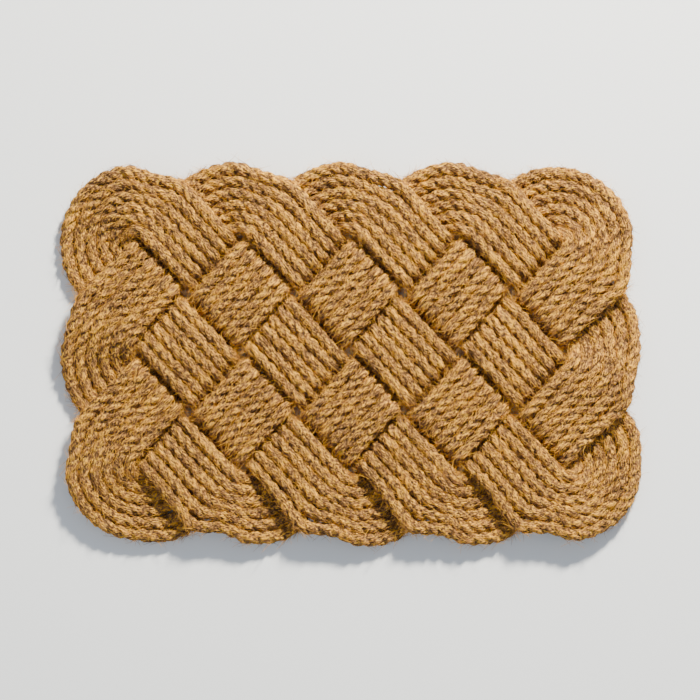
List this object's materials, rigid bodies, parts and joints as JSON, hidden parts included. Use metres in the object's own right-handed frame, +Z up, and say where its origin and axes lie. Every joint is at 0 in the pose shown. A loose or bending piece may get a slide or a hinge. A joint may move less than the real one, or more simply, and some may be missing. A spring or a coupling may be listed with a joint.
{
  "type": "coir rope door mat",
  "caption": "Rectangular door mat knotted from thick coir rope laid side by side in bands that weave over and under, with rounded bights all round the edge.",
  "frame": {"origin": "centre of the mat's outline, on the surface it lies on", "axes": "+X along the mat's length, +Y across it towards the back edge, +Z up"},
  "size_m": [0.6015, 0.3975, 0.0232],
  "materials": {
    "coir_rope": "rough laid coir fibre, golden brown",
    "coir_twine": "thin twisted coir twine"
  },
  "bodies": {
    "root": {"rope_pass_1": "coir_rope", "rope_pass_2": "coir_rope", "rope_pass_3": "coir_rope", "rope_pass_4": "coir_rope", "rope_pass_5": "coir_rope", "rope_pass_6": "coir_rope", "end_whipping_1": "coir_twine", "end_whipping_2": "coir_twine", "end_whipping_3": "coir_twine", "end_whipping_4": "coir_twine", "end_whipping_5": "coir_twine", "end_whipping_6": "coir_twine"}
  },
  "joints": []
}
